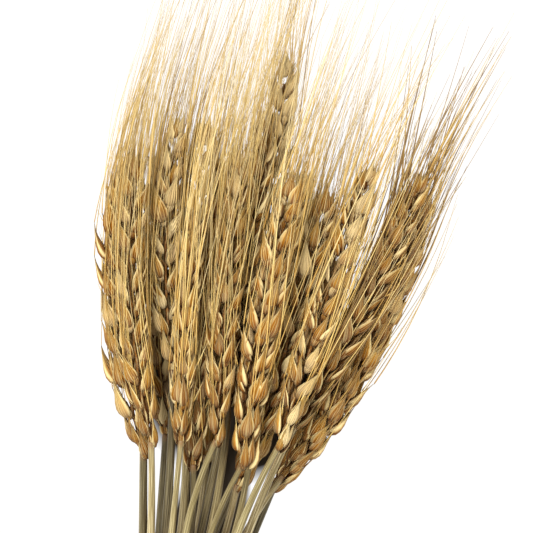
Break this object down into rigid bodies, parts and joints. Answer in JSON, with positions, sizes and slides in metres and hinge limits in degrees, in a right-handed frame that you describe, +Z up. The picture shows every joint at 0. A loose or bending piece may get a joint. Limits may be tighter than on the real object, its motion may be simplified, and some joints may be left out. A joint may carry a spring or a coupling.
{
  "type": "bundle of dried wheat",
  "caption": "Lying tied bundle of dried bearded wheat: plump golden ears with long straight awns on pale straws that narrow into a twine tie and spread at their cut ends.",
  "frame": {"origin": "middle of the bundle's box, on the surface that it lies on", "axes": "+Y along the bundle from the cut ends to the awns, +Z up from the surface, +X to the right seen from above with the awns up"},
  "size_m": [0.1412, 0.4108, 0.0644],
  "materials": {
    "ear": "matte dry husk, golden, with paler awns",
    "straw": "silky dry straw, pale greenish khaki",
    "twine": "twisted natural jute, rough"
  },
  "bodies": {
    "root": {"ear_01": "ear", "ear_02": "ear", "ear_03": "ear", "ear_04": "ear", "ear_05": "ear", "ear_06": "ear", "ear_07": "ear", "ear_08": "ear", "ear_09": "ear", "ear_10": "ear", "ear_11": "ear", "ear_12": "ear", "ear_13": "ear", "ear_14": "ear", "ear_15": "ear", "ear_16": "ear", "ear_17": "ear", "ear_18": "ear", "ear_19": "ear", "ear_20": "ear", "straw_01": "straw", "straw_02": "straw", "straw_03": "straw", "straw_04": "straw", "straw_05": "straw", "straw_06": "straw", "straw_07": "straw", "straw_08": "straw", "straw_09": "straw", "straw_10": "straw", "straw_11": "straw", "straw_12": "straw", "straw_13": "straw", "straw_14": "straw", "straw_15": "straw", "straw_16": "straw", "straw_17": "straw", "straw_18": "straw", "straw_19": "straw", "straw_20": "straw", "tie": "twine"}
  },
  "joints": []
}
